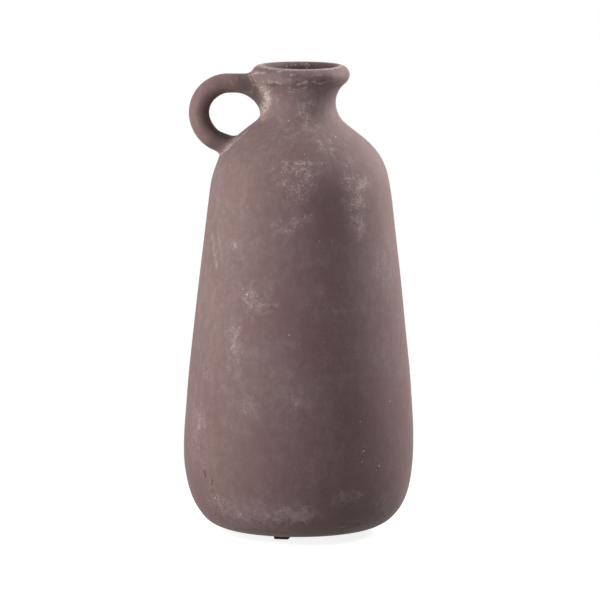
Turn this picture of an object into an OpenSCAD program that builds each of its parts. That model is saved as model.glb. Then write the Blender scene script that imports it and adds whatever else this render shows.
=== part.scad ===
// Jug vase: a tall hollow clay vessel with a rolled lip and one loop handle, standing on
// three small pads. The origin is on the vessel's axis at the surface that the pads rest on.
// The handle points along -X.

/* [Body] */
// Height of the lip's widest line above the flat base
lip_height = 371.2; // [310:0.1:440]
// Width of the body at its widest
belly_d = 186; // [175:1:200]
// Width of the flat base
base_d = 88; // [80:1:110]
// Height of the rounding between the flat base and the widest line of the body
turn_height = 67; // [50:1:80]
// How square the rounding is, where 2 is a plain ellipse
turn_square = 2.55; // [2:0.05:3]
// Radius of the long curve up the flank
flank_r = 620; // [400:5:900]
// Angle at which the flank leans in, above its long curve
flank_lean = 6.4; // [4:0.1:8]
// Radius of the shoulder
shoulder_r = 62.2; // [50:0.1:70]
// Angle at which the slope above the shoulder leans in
shoulder_lean = 51.9; // [46:0.1:58]
// Thickness of the clay wall
wall = 6.5; // [4:0.1:9]
// Thickness of the clay floor
floor_t = 9; // [5:0.1:14]

/* [Neck and lip] */
// Distance from the lip's widest line down to the narrowest line of the neck
lip_to_neck = 23; // [18:0.1:28]
// Width of the neck at its narrowest
neck_d = 56.2; // [50:0.1:62]
// Radius of the hollow curve between the shoulder and the neck
neck_curve_r = 22.9; // [15:0.1:26]
// Width of the lip at its widest
lip_d = 78.1; // [74:0.1:86]
// Radius of the roll under the lip
lip_under_r = 10; // [5:0.1:12]
// Height of the lip's crest above its widest line
lip_rise = 7.2; // [5:0.1:9]
// Distance in from the lip's widest line to its crest
lip_out = 7.6; // [4:0.1:10]
// Width of the mouth inside the lip
mouth_d = 54; // [50:0.1:58]

/* [Handle] */
// Distance from the vessel's axis to the far side of the handle
handle_reach = 90.9; // [86:0.1:100]
// Radius of the middle of the loop
loop_r = 24; // [20:0.1:27]
// Thickness of the handle, seen from the side of the jug
handle_t = 15.8; // [12:0.1:18]
// Width of the handle, seen from behind it
handle_w = 19; // [14:0.1:22]
// Height of the handle's flat top above the widest line of the lip
handle_top = -0.3; // [-3:0.1:2]
// Angle below level at which the handle runs down into the shoulder
handle_dip = 22; // [15:1:30]
// Radius of the web under the handle where it meets the neck
web_r = 19; // [12:0.5:20]
// Distance that the foot of the web stands out from the neck
web_out = 5; // [3:0.1:7]
// Radius at which the handle's sides spread onto the neck
spread_r = 7; // [3:0.5:9]
// Radius at which the top of the handle runs up onto the lip
lip_fillet_r = 10; // [4:0.5:12]
// Radius at which the far side of the handle runs out onto the shoulder
root_outer_r = 8; // [3:0.5:10]
// Radius at which the near side of the handle runs out onto the shoulder
root_inner_r = 1.2; // [0.5:0.1:3]
// Radius at which the handle's sides spread onto the shoulder
root_side_r = 3.5; // [1:0.5:5]

/* [Pads] */
// Width of each square pad
pad_w = 12; // [8:0.1:15]
// Thickness of each pad
pad_t = 3.5; // [1.5:0.1:5]
// Radius of a pad's corners
pad_corner_r = 0.8; // [0.3:0.1:2]
// Distance from the vessel's axis to the middle of each pad
pad_ring = 37; // [20:0.1:38]
// Direction of the first pad, anticlockwise from +X seen from above
pad_turn = -110.7; // [-180:0.1:180]
// Turn of each pad about its own middle, anticlockwise from facing the front
pad_twist = -8; // [-45:1:45]

/* [Hidden] */
pad_count = 3;
turn_steps = 14;       // straight pieces in each curve of the outline
flank_steps = 8;
shoulder_steps = 11;
curve_steps = 7;
lip_steps = 7;
loop_steps = 26;       // slices of the handle along its arc
straight_steps = 14;   // slices along each straight end
ring_points = 28;      // points around each slice
around = 96;           // pieces around the vessel
corner_steps = 24;     // pieces around a pad's rounded corner, if it were a whole circle
clay = [0.50, 0.43, 0.40];
pad_colour = [0.10, 0.09, 0.09];

belly_r = belly_d / 2;
neck_r = neck_d / 2;
neck_height = lip_height - lip_to_neck;
lip_r = lip_d / 2;
mouth_r = mouth_d / 2;
crest_r = lip_r - lip_out;
crest_height = lip_height + lip_rise;

// The throat curves out from the neck and turns back under the lip: two arcs that share a tangent.
throat_turn = 2 * atan2(lip_r - neck_r, lip_height - neck_height);
throat_r = (lip_height - neck_height) / sin(throat_turn) - lip_under_r;

// Points on an arc of an ellipse about centre c, from angle a0 to a1; power 2 is a plain ellipse.
// An arc that goes on from the end of another leaves out its own first point.
function arc(c, rx, rz, a0, a1, steps, power = 2, goes_on = false) = [
    for (i = [goes_on ? 1 : 0:steps])
        let (a = a0 + (a1 - a0) * i / steps)
        c + [rx * sign(cos(a)) * pow(abs(cos(a)), 2 / power),
             rz * sign(sin(a)) * pow(abs(sin(a)), 2 / power)]
];

// Where the shoulder's arc is centred. The two straight stretches, beside it, take up what the
// arcs leave between the widest line of the body and the neck.
function flank_end() =
    [belly_r - flank_r * (1 - cos(flank_lean)), turn_height + flank_r * sin(flank_lean)];
function slope_end() =
    [neck_r + neck_curve_r * (1 - cos(shoulder_lean)), neck_height - neck_curve_r * sin(shoulder_lean)];
function shoulder_centre() =
    let (from = flank_end() - shoulder_r * [cos(flank_lean), sin(flank_lean)],
         to = slope_end() - shoulder_r * [cos(shoulder_lean), sin(shoulder_lean)],
         gap = to - from,
         up_flank = [-sin(flank_lean), cos(flank_lean)],
         up_slope = [-sin(shoulder_lean), cos(shoulder_lean)],
         along = (gap[0] * up_slope[1] - gap[1] * up_slope[0])
               / (up_flank[0] * up_slope[1] - up_flank[1] * up_slope[0]))
    from + along * up_flank;

// The outline from the flat base up to the neck, moved in by the given distance. The inside of the
// wall has the same centres as the outside, so the wall keeps its thickness all the way up.
function body_outline(inset, floor_height) =
    let (flank = flank_r - inset, shoulder = shoulder_r - inset, curve = neck_curve_r + inset)
    concat(
        arc([base_d / 2, turn_height], belly_r - inset - base_d / 2, turn_height - floor_height,
            -90, 0, turn_steps, turn_square),
        arc([belly_r - flank_r, turn_height], flank, flank, 0, flank_lean, flank_steps, goes_on = true),
        arc(shoulder_centre(), shoulder, shoulder, flank_lean, shoulder_lean, shoulder_steps),
        arc([neck_r + neck_curve_r, neck_height], curve, curve, 180 + shoulder_lean, 180, curve_steps)
    );

function outside_outline() = concat(
    body_outline(0, 0),
    arc([neck_r + throat_r, neck_height], throat_r, throat_r, 180, 180 - throat_turn, curve_steps,
        goes_on = true),
    arc([lip_r - lip_under_r, lip_height], lip_under_r, lip_under_r, -throat_turn, 0, curve_steps,
        goes_on = true),
    arc([crest_r, lip_height], lip_out, lip_rise, 0, 90, lip_steps, goes_on = true)
);

// The throat's inner curve stops where it reaches the mouth's width.
function inside_outline() =
    let (r = throat_r + wall, stop = acos((neck_r + throat_r - mouth_r) / r))
    concat(
        body_outline(wall, floor_t),
        arc([neck_r + throat_r, neck_height], r, r, 180, 180 - stop, curve_steps, goes_on = true),
        arc([crest_r, lip_height], crest_r - mouth_r, lip_rise, 180, 90, lip_steps)
    );

module turned(outline, foot, top) {
    rotate_extrude($fn = around)
        polygon(concat([[0, foot]], outline, [[outline[len(outline) - 1][0], top], [0, top]]));
}

// How far a concave corner of radius r has spread at distance d from the surface it runs onto.
function spread(r, d) = let (left = r - max(0, min(d, r))) r - sqrt(r * r - left * left);

// The handle's middle line lies in the plane of x, out from the axis, and height.
loop_x = handle_reach - handle_t / 2 - loop_r;
loop_top = lip_height + handle_top - handle_t / 2;
loop_height = loop_top - loop_r;
loop_end = [loop_x + loop_r * sin(handle_dip), loop_height - loop_r * cos(handle_dip)];
dip_way = [-cos(handle_dip), -sin(handle_dip)];
handle_bite = 1.5 * wall;   // how deep each end of the handle is sunk, before the hollow is cut
lip_hold = 3;               // how far inside the lip's widest line the fillet on top ends
crest_clear = 0.5;          // how far below the lip's crest that fillet stays

// Distance along the handle's lower end to the outside of the body, found by halving.
function body_x(height) = lookup(height, [for (p = body_outline(0, 0)) [p[1], p[0]]]);
function meets_body(near, far, tries = 20) =
    let (mid = (near + far) / 2, p = loop_end + mid * dip_way)
    tries == 0 ? mid
        : p[0] > body_x(p[1]) ? meets_body(mid, far, tries - 1)
        : meets_body(near, mid, tries - 1);
lower_run = meets_body(0, loop_x);

// Each slice is [middle, outward way, outer half thickness, inner half thickness, half width].
function upper_slice(x) =
    [[x, loop_top], [0, 1],
     handle_t / 2 + min(spread(lip_fillet_r, x - lip_r + lip_hold), lip_rise - handle_top - crest_clear),
     handle_t / 2 + spread(web_r, x - neck_r - web_out),
     handle_w / 2 + spread(spread_r, x - neck_r + wall / 2)];
function loop_slice(a) =
    [[loop_x, loop_height] + loop_r * [cos(a), sin(a)], [cos(a), sin(a)],
     handle_t / 2, handle_t / 2 + spread(web_r, loop_x + loop_r * cos(a) - neck_r - web_out), handle_w / 2];
function lower_slice(run) =
    let (left = lower_run - run)
    [loop_end + run * dip_way, [sin(handle_dip), -cos(handle_dip)],
     handle_t / 2 + spread(root_outer_r, left), handle_t / 2 + spread(root_inner_r, left),
     handle_w / 2 + spread(root_side_r, left)];

upper_start = neck_r - handle_bite;
upper_step = (loop_x - upper_start) / straight_steps;
lower_step = (lower_run + handle_bite) / straight_steps;
handle_slices = concat(
    [for (i = [0:straight_steps - 1]) upper_slice(upper_start + upper_step * i)],
    [for (i = [0:loop_steps]) loop_slice(90 - (180 - handle_dip) * i / loop_steps)],
    [for (i = [1:straight_steps]) lower_slice(lower_step * i)]
);

// A slice's ring of points: an ellipse whose outer and inner halves have their own heights.
function ring(s) = [
    for (i = [0:ring_points - 1])
        let (a = 360 * i / ring_points,
             out = sin(a) * (sin(a) > 0 ? s[2] : s[3]),
             p = s[0] + out * s[1])
        [-p[0], s[4] * cos(a), p[1] + pad_t]
];

module loft(slices) {
    last = len(slices) - 1;
    n = ring_points;
    polyhedron(
        points = [for (s = slices) each ring(s)],
        faces = concat(
            [[for (j = [n - 1:-1:0]) j]],
            [for (i = [0:last - 1], j = [0:n - 1])
                let (a = i * n + j, b = i * n + (j + 1) % n)
                each [[a, b, a + n], [b, b + n, a + n]]],
            [[for (j = [0:n - 1]) last * n + j]]
        )
    );
}

// The vessel is one fired piece: the handle joins the outside, and the hollow is taken from both.
module jug() {
    color(clay)
        difference() {
            union() {
                translate([0, 0, pad_t]) turned(outside_outline(), 0, crest_height);
                loft(handle_slices);
            }
            translate([0, 0, pad_t]) turned(inside_outline(), floor_t, crest_height + 1);
        }
}

module foot_pad(number) {
    turn = pad_turn + 360 * (number - 1) / pad_count;
    inner = pad_w - 2 * pad_corner_r;
    color(pad_colour)
        translate([pad_ring * cos(turn), pad_ring * sin(turn), 0])
            rotate(pad_twist)
                linear_extrude(pad_t)
                    union() {
                        square([pad_w, inner], center = true);
                        square([inner, pad_w], center = true);
                        for (x = [-1, 1], y = [-1, 1])
                            translate([x * inner / 2, y * inner / 2])
                                circle(pad_corner_r, $fn = corner_steps);
                    }
}

jug();
foot_pad(1);  // foot_pad_1
foot_pad(2);  // foot_pad_2
foot_pad(3);  // foot_pad_3
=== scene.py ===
"""A tall jug vase of matt brown clay: a rolled lip, one loop handle and three small pads under the base.

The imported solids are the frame. The vessel's visible skin has the outline of the solid, with the marks
that a hand leaves in clay, and its washed, chalky finish is worked out from the shape itself.
"""

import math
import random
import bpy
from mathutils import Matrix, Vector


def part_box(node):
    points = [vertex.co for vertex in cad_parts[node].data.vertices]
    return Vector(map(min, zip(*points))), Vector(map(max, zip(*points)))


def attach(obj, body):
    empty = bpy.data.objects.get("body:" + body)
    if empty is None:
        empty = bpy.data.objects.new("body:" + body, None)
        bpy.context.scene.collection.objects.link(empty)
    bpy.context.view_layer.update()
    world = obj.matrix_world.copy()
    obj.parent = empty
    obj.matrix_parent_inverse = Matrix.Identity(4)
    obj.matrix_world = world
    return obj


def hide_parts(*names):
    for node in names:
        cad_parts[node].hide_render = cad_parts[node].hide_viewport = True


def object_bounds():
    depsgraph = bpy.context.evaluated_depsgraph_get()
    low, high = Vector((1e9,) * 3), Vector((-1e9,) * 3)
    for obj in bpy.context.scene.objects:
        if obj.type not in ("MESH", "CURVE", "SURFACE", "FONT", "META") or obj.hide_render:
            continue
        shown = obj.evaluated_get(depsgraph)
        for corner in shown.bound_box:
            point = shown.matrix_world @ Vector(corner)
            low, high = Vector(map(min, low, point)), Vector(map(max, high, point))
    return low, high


bl_info = {
    "name": "Clay jug vase",
    "version": (1, 0, 0),
    "blender": (4, 5, 0),
    "location": "3D View > Sidebar > Jug vase",
    "description": "Builds a matt clay jug vase with a loop handle, its foot pads and a plain studio",
    "category": "Add Mesh",
}

import bmesh
import bpy
import numpy as np
from bpy.props import FloatProperty, FloatVectorProperty, PointerProperty
from mathutils import Matrix, Vector
from mathutils.bvhtree import BVHTree
from mathutils.kdtree import KDTree

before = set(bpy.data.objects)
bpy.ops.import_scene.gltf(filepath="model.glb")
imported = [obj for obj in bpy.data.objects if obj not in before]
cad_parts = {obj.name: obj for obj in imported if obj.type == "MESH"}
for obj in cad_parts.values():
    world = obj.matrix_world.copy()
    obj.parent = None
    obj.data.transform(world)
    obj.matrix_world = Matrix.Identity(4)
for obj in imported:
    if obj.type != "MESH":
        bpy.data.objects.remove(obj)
CAD_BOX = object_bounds()
PAD_NODES = sorted(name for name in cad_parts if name.startswith("foot_pad"))
PAD_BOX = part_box(PAD_NODES[0])

BODY = "root"
HALF_TURN = math.pi
FULL_TURN = 2 * math.pi
MM = 0.001


# Properties

def length(name, description, default):
    """A size in metres."""
    return FloatProperty(
        name=name, description=description, default=default,
        precision=4, unit="LENGTH", subtype="DISTANCE",
    )


def angle(name, description, degrees):
    """An angle, written here in degrees."""
    return FloatProperty(
        name=name, description=description, default=math.radians(degrees), subtype="ANGLE",
    )


def share(name, description, default):
    """An amount from none, 0, to full, 1."""
    return FloatProperty(
        name=name, description=description, default=default, min=0.0, max=1.0, subtype="FACTOR",
    )


def colour(name, description, default):
    """A colour as linear red, green and blue."""
    return FloatVectorProperty(
        name=name, description=description, default=default, min=0.0, max=1.0, size=3, subtype="COLOR",
    )


class VesselSizes(bpy.types.PropertyGroup):
    """The vessel's wall from the flat base up to the neck; heights are above the flat base"""

    belly_width: length("Belly width", "Width of the body at its widest", CAD_BOX[1].x - CAD_BOX[0].x)
    base_width: length("Base width", "Width of the flat base", 88 * MM)
    turn_height: length("Turn height", "Height of the rounding above the flat base", 67 * MM)
    turn_square: FloatProperty(
        name="Turn squareness", description="How square the rounding is; 2 is an ellipse", default=2.55,
    )
    flank_radius: length("Flank radius", "Radius of the long curve up the flank", 620 * MM)
    flank_lean: angle("Flank lean", "Angle at which the flank leans in", 6.4)
    shoulder_radius: length("Shoulder radius", "Radius of the shoulder", 62.2 * MM)
    shoulder_lean: angle("Shoulder lean", "Angle at which the slope above the shoulder leans in", 51.9)
    wall: length("Wall", "Thickness of the clay wall", 6.5 * MM)
    floor: length("Floor", "Thickness of the clay floor", 9 * MM)
    unevenness: length("Unevenness", "How far the thrown wall strays from a true turning", 0.45 * MM)
    swelling: length("Swelling", "How far the shoulder swells where the handle was pressed on", 1.9 * MM)


class NeckSizes(bpy.types.PropertyGroup):
    """The neck, the throat and the rolled lip"""

    lip_height: length("Lip height", "Height of the lip's widest line above the flat base", 371.2 * MM)
    lip_to_neck: length("Lip to neck", "From the lip's widest line down to the narrowest line", 23 * MM)
    neck_width: length("Neck width", "Width of the neck at its narrowest", 56.2 * MM)
    curve_radius: length("Curve radius", "Radius of the hollow curve above the shoulder", 22.9 * MM)
    lip_width: length("Lip width", "Width of the lip at its widest", 78.1 * MM)
    under_radius: length("Under-lip radius", "Radius of the roll under the lip", 10 * MM)
    lip_rise: length("Lip rise", "Height of the crest above the lip's widest line", 7.2 * MM)
    front_dip: length("Front dip", "How far the crest dips at the front", 1.1 * MM)
    lip_out: length("Lip out", "Distance in from the lip's widest line to its crest", 7.6 * MM)
    mouth_width: length("Mouth width", "Width of the mouth inside the lip", 54 * MM)


class HandleSizes(bpy.types.PropertyGroup):
    """The loop handle, which is pulled from a roll of clay and pressed on"""

    reach: length("Reach", "From the vessel's axis to the far side of the handle", 90.9 * MM)
    loop_radius: length("Loop radius", "Radius of the middle of the loop", 24 * MM)
    thickness: length("Thickness", "Thickness seen from the side of the jug", 15.8 * MM)
    width: length("Width", "Width seen from behind the handle", 19 * MM)
    top: length("Top", "Height of the flat top above the lip's widest line", -0.3 * MM)
    dip: angle("Dip", "Angle below level at which the handle runs into the shoulder", 22)
    web_radius: length("Web radius", "Radius of the web under the handle at the neck", 20.8 * MM)
    web_out: length("Web out", "How far the foot of the web stands out from the neck", 3.9 * MM)
    spread_radius: length("Spread radius", "Radius of the sides where they meet the neck", 7 * MM)
    lip_radius: length("Lip radius", "Radius of the top where it runs up onto the lip", 10 * MM)
    root_outer: length("Outer root radius", "Radius of the far side at the shoulder", 9.5 * MM)
    root_inner: length("Inner root radius", "Radius of the near side at the shoulder", 1.2 * MM)
    root_side: length("Side root radius", "Radius of the sides at the shoulder", 3.5 * MM)
    seam_softness: length("Seam softness", "How far the joint with the body is smoothed", 3.2 * MM)
    unevenness: length("Unevenness", "How far the pulled roll strays from a true one", 0.3 * MM)


class PadSizes(bpy.types.PropertyGroup):
    """The three foot pads, whose places come from the frame"""

    width: length("Width", "Width of each square pad", 12 * MM)
    thickness: length("Thickness", "Thickness of each pad", PAD_BOX[1].z - PAD_BOX[0].z)
    twist: angle("Twist", "Turn of each pad about its own middle", -8)
    edge: length("Edge", "Radius of the pad's edges", 0.45 * MM)
    bulge: length("Bulge", "How far the pressed sides bulge out", 0.18 * MM)


class ClayLook(bpy.types.PropertyGroup):
    """Colours and marks of the fired clay and its chalky wash"""

    body: colour("Clay", "Colour of the bare clay", (0.2, 0.131, 0.1325))
    dark: colour("Dark clay", "Colour of the darker clouds", (0.177, 0.097, 0.102))
    warm: colour("Warm clay", "Colour of the rust-tinted places", (0.223, 0.142, 0.118))
    wash: colour("Wash", "Colour of the chalky wash", (0.56, 0.432, 0.43))
    # This colour also paints the highlight along the lip's crest.
    chalk: colour("Chalk", "Colour of the wash where it lies thick", (0.62, 0.525, 0.485))
    speck: colour("Speck", "Colour of the white specks", (0.66, 0.62, 0.6))
    # This colour also paints the shade in the folds.
    pit_and_fold_shade: colour("Pit", "Colour inside the small pits", (0.07, 0.038, 0.036))
    powder: share("Powder", "How much chalk lies all over the clay", 0.09)
    # The veil share also sets how strongly the painted light in the haze whitens the clay.
    veil: share("Veil", "How much a patch of wash whitens the clay evenly", 0.3)
    flecks: share("Flecks", "How strongly the flecks in a patch of wash stand out", 0.58)
    rust: share("Rust", "How strongly the rust-tinted places show", 0.5)
    # Tone of the painted shade inside the mouth and on the handle beside its joints.
    hollow: share("Hollow", "Tone of the clay inside the mouth and beside the joints", 0.5)
    roughness: share("Roughness", "Roughness of the dry surface", 0.8)
    bloom: share("Bloom", "Pale bloom where the surface is seen at a low angle", 0.06)
    relief: length("Relief", "Depth of the sandy relief", 0.2 * MM)


class PadLook(bpy.types.PropertyGroup):
    """Finish of the foot pads"""

    rubber: colour("Rubber", "Colour of the pads", (0.012, 0.011, 0.011))
    dust: colour("Dust", "Colour of the dust on the pads", (0.05, 0.045, 0.042))


class StudioSettings(bpy.types.PropertyGroup):
    """Camera, lamps and floor"""

    distance: length("Camera distance", "From the camera to the point it looks at", 5.0)
    aim_height: length("Aim height", "Height of that point above the floor", 190.3 * MM)
    aim_side: FloatProperty(
        name="Aim side", description="How far that point lies to the right", default=0.17 * MM,
        precision=5, unit="LENGTH", subtype="DISTANCE",
    )
    elevation: angle("Elevation", "How far the camera looks down", 6.94)
    roll: angle("Roll", "Turn of the camera about its own line of sight", 0.364)
    lens: FloatProperty(
        name="Lens", description="Focal length", default=369.5, unit="CAMERA",
    )
    floor_tone: share("Floor tone", "How much light the floor throws back onto the vase", 0.11)
    shadow: share("Shadow", "How strongly the floor shows the vase's shadow", 0.15)
    fill: FloatProperty(
        name="Fill", description="Strength of the even light all round", default=0.0, min=0.0,
    )


SETTINGS = {
    "jug_vessel": VesselSizes,
    "jug_neck": NeckSizes,
    "jug_handle": HandleSizes,
    "jug_pads": PadSizes,
    "jug_clay": ClayLook,
    "jug_rubber": PadLook,
    "jug_studio": StudioSettings,
}


# Outline of the vessel

def arc(centre, across, up, start, stop, steps, power=2.0):
    """Rows of (radius, height) on an arc of an ellipse, from one angle to another in radians."""
    angles = np.linspace(start, stop, steps + 1)
    cosine, sine = np.cos(angles), np.sin(angles)
    return np.column_stack([
        centre[0] + across * np.sign(cosine) * np.abs(cosine) ** (2 / power),
        centre[1] + up * np.sign(sine) * np.abs(sine) ** (2 / power),
    ])


class Outline:
    """The vessel's turned outline, as rows of (radius, height above the floor that it stands on)."""

    ARC_STEPS = 40

    def __init__(self, vessel, neck, lift):
        self.vessel, self.neck, self.lift = vessel, neck, lift
        self.belly_r = vessel.belly_width / 2
        self.neck_r = neck.neck_width / 2
        self.neck_height = neck.lip_height - neck.lip_to_neck
        self.lip_r = neck.lip_width / 2
        self.crest_r = self.lip_r - neck.lip_out
        self.mouth_r = neck.mouth_width / 2
        self.throat_turn = 2 * math.atan2(self.lip_r - self.neck_r, neck.lip_to_neck)
        self.throat_r = neck.lip_to_neck / math.sin(self.throat_turn) - neck.under_radius
        self.outside = self.raised(self.outer_rows())
        self.inside = self.raised(self.inner_rows())

    def raised(self, rows):
        """The rows without repeats, lifted by the pads."""
        keep = np.concatenate([[True], np.hypot(*np.diff(rows, axis=0).T) > 1e-7])
        return rows[keep] + (0, self.lift)

    def shoulder_centre(self):
        """Where the shoulder's arc is centred, between the leaning flank and the slope above it."""
        vessel, neck = self.vessel, self.neck
        flank_way = np.array([math.cos(vessel.flank_lean), math.sin(vessel.flank_lean)])
        slope_way = np.array([math.cos(vessel.shoulder_lean), math.sin(vessel.shoulder_lean)])
        flank_end = np.array([self.belly_r - vessel.flank_radius, vessel.turn_height])
        flank_end = flank_end + vessel.flank_radius * flank_way
        slope_end = np.array([self.neck_r + neck.curve_radius, self.neck_height])
        slope_end = slope_end - neck.curve_radius * slope_way
        start = flank_end - vessel.shoulder_radius * flank_way
        gap = slope_end - vessel.shoulder_radius * slope_way - start
        up_flank = np.array([-flank_way[1], flank_way[0]])
        along = (gap @ slope_way) / (up_flank @ slope_way)
        return start + along * up_flank

    def wall_rows(self, inset, floor_height):
        """The wall from the flat base up to the neck, moved in by inset."""
        vessel, neck, steps = self.vessel, self.neck, self.ARC_STEPS
        across = self.belly_r - inset - vessel.base_width / 2
        up = vessel.turn_height - floor_height
        flank = vessel.flank_radius - inset
        shoulder = vessel.shoulder_radius - inset
        curve = neck.curve_radius + inset
        return np.concatenate([
            arc((vessel.base_width / 2, vessel.turn_height), across, up, -math.pi / 2, 0, 2 * steps,
                vessel.turn_square),
            arc((self.belly_r - vessel.flank_radius, vessel.turn_height), flank, flank,
                0, vessel.flank_lean, steps),
            arc(self.shoulder_centre(), shoulder, shoulder, vessel.flank_lean, vessel.shoulder_lean, steps),
            arc((self.neck_r + neck.curve_radius, self.neck_height), curve, curve,
                HALF_TURN + vessel.shoulder_lean, HALF_TURN, steps),
        ])

    def outer_rows(self):
        """The outside: wall, throat, roll under the lip, and lip up to its crest."""
        neck, steps = self.neck, self.ARC_STEPS
        return np.concatenate([
            self.wall_rows(0, 0),
            arc((self.neck_r + self.throat_r, self.neck_height), self.throat_r, self.throat_r,
                HALF_TURN, HALF_TURN - self.throat_turn, steps),
            arc((self.lip_r - neck.under_radius, neck.lip_height), neck.under_radius, neck.under_radius,
                -self.throat_turn, 0, steps),
            arc((self.crest_r, neck.lip_height), neck.lip_out, neck.lip_rise, 0, math.pi / 2, steps),
        ])

    def inner_rows(self):
        """The inside: wall, throat, and lip up to its crest."""
        vessel, neck, steps = self.vessel, self.neck, self.ARC_STEPS
        radius = self.throat_r + vessel.wall
        stop = math.acos((self.neck_r + self.throat_r - self.mouth_r) / radius)
        return np.concatenate([
            self.wall_rows(vessel.wall, vessel.floor),
            arc((self.neck_r + self.throat_r, self.neck_height), radius, radius,
                HALF_TURN, HALF_TURN - stop, steps),
            arc((self.crest_r, neck.lip_height), self.crest_r - self.mouth_r, neck.lip_rise,
                HALF_TURN, math.pi / 2, steps),
        ])

    def radius_at(self, height):
        """The outside radius at a height above the floor."""
        return np.interp(height, self.outside[:, 1], self.outside[:, 0])


def spaced(rows, spacing):
    """The same outline with rows a set distance apart; spacing(rows) gives that distance."""
    steps = np.hypot(*np.diff(rows, axis=0).T)
    wanted = spacing((rows[1:] + rows[:-1]) / 2)
    count = np.concatenate([[0], np.cumsum(steps / wanted)])
    places = np.linspace(0, count[-1], int(round(count[-1])) + 1)
    return np.column_stack([np.interp(places, count, rows[:, i]) for i in (0, 1)])


# Marks of the hand in the clay; their tables are in degrees and millimetres

def in_metres(marks, *lengths):
    """The marks with the values at those places in each row taken from millimetres to metres."""
    return [tuple(v * MM if i in lengths else v for i, v in enumerate(mark)) for mark in marks]


# Places where the wall stands out or in: turn from the front, height, half width in degrees, half
# height, and how far it stands out as a share of the swelling at the handle.
PRESSED = in_metres([
    (-90, 323, 30, 18, 1.05),
    (-90, 333, 26, 8, 0.75),
    (-90, 344, 24, 3.5, -0.3),
    (-62, 316, 16, 16, 0.25),
    (-90, 309, 20, 6, 0.4),
    (-90, 205, 40, 45, 0.35),
    (-90, 80, 40, 18, 0.4),
    (90, 309, 34, 9, 0.18),
    (90, 286, 34, 9, -0.3),
    (-80, 377.5, 24, 4, 0.45),
    (90, 375, 40, 6, 0.28),
    (-90, 60, 40, 14, 0.3),
    (90, 48, 40, 20, -0.32),
    (90, 112, 40, 20, -0.2),
    (-90, 5, 40, 8, 1.25),
    (90, 3, 40, 7, 1.2),
], 1, 3)
# Soft waves over the wall: how many, how often each may run round, and their heights.
WAVE_COUNT = 18
WAVES_AROUND = (1, 2, 2, 3, 3, 4, 5)
WAVE_HEIGHTS = (70 * MM, 220 * MM)
# How much of the wall's unevenness is in the waves, and in the ribs outside and inside.
WAVE_SHARE = 0.6
RIB_SHARE = 0.1
INNER_RIB_SHARE = 0.35
# The ribs' spacing, and the heights over which they drift and deepen.
RIB_SPACING = 7.5 * MM
RIB_DRIFT_HEIGHT = 41 * MM
RIB_DEPTH_HEIGHT = 23 * MM
# Waves round the lip: how many, share of the unevenness, and the angle where each starts.
LIP_WAVES = ((3, 0.30, 0.4), (5, 0.22, 2.1), (8, 0.13, 4.0))
# They set in over this height below the lip's widest line, and all unevenness over this height above
# the base.
LIP_BAND = 9 * MM
LEVEL_FOOT = 12 * MM


def unevenness(turn, height, seed):
    """Long soft waves over a thrown wall, about -1 to 1."""
    draw = random.Random(seed)
    total = 0.0
    for _ in range(WAVE_COUNT):
        around = draw.choice(WAVES_AROUND)
        up = draw.uniform(-1, 1) * FULL_TURN / draw.uniform(*WAVE_HEIGHTS)
        total = total + np.sin(around * turn + up * height + draw.uniform(0, FULL_TURN))
    return total / math.sqrt(WAVE_COUNT)


def throwing_ribs(turn, height, seed):
    """Faint ribs that climb slowly round the wall, about -1 to 1."""
    draw = random.Random(seed)
    drift = 0.8 * np.sin(height / RIB_DRIFT_HEIGHT + draw.uniform(0, FULL_TURN))
    drift = drift + 0.5 * np.sin(turn + 9 * height)
    depth = 0.55 + 0.45 * np.sin(2 * turn + height / RIB_DEPTH_HEIGHT + draw.uniform(0, FULL_TURN))
    return depth * np.sin(FULL_TURN * height / RIB_SPACING + turn + drift)


def bump_at(turn, height, place):
    """A soft round bump over the surface, from 0 to 1."""
    centre_turn, centre_height, half_turn, half_height = place[:4]
    across = (turn - math.radians(centre_turn) + HALF_TURN) % FULL_TURN - HALF_TURN
    far = (across / math.radians(half_turn)) ** 2 + ((height - centre_height) / half_height) ** 2
    return np.exp(-far)


# The foot's rounding sags to one side: lift per metre across and in the middle, the radii between
# which it sets in, and the height at which it has gone.
SAG_SLOPE = 0.0068
SAG_LIFT = 0.25 * MM
SAG_RADII = (46 * MM, 58 * MM)
SAG_HEIGHT = 66 * MM


def smooth_step(share):
    """A soft step from 0 to 1."""
    share = np.clip(share, 0, 1)
    return share ** 2 * (3 - 2 * share)


def sag(outline, across, radius, height):
    """How far a point of the outside is lifted where the foot's rounding sags."""
    inner, outer = SAG_RADII
    grown = smooth_step((radius - inner) / (outer - inner))
    left = smooth_step(1 - (height - outline.lift) / SAG_HEIGHT)
    return (SAG_SLOPE * across + SAG_LIFT) * grown * left


def lip_share(outline, height):
    """0 on the wall, and 1 from the lip's widest line up."""
    return np.clip((height - outline.lift - outline.neck.lip_height) / LIP_BAND + 1, 0, 1)


def outer_push(outline, turn, height):
    """How far the outside of the wall stands out from the true turning."""
    vessel = outline.vessel
    push = vessel.unevenness * WAVE_SHARE * unevenness(turn, height, "outside")
    push += vessel.unevenness * RIB_SHARE * throwing_ribs(turn, height, "outside ribs")
    for place in PRESSED:
        push += vessel.swelling * place[4] * bump_at(turn, height, place)
    lip = lip_share(outline, height)
    for around, size, start in LIP_WAVES:
        push += vessel.unevenness * size * lip * np.sin(around * turn + start)
    return push * np.clip((height - outline.lift) / LEVEL_FOOT, 0, 1)


def crest_dip(neck, turn):
    """How far the lip's crest lies below its full height."""
    return neck.front_dip * np.clip(np.cos(turn), 0, 1)


# Vessel mesh

# Rows lie close together from a little below the neck up and at the foot. Inside, the distance between
# them grows with depth.
AROUND = 256
FINE_ROW = 1.15 * MM
FINE_BELOW_NECK = 6 * MM
FINE_FOOT = 26 * MM
BODY_ROW = 2.4 * MM
DEEP_ROW = 9 * MM
ROW_GROWTH = 0.12
BASE_RINGS = (0.04, 0.16, 0.34, 0.54, 0.74, 0.88, 0.96)


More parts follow.
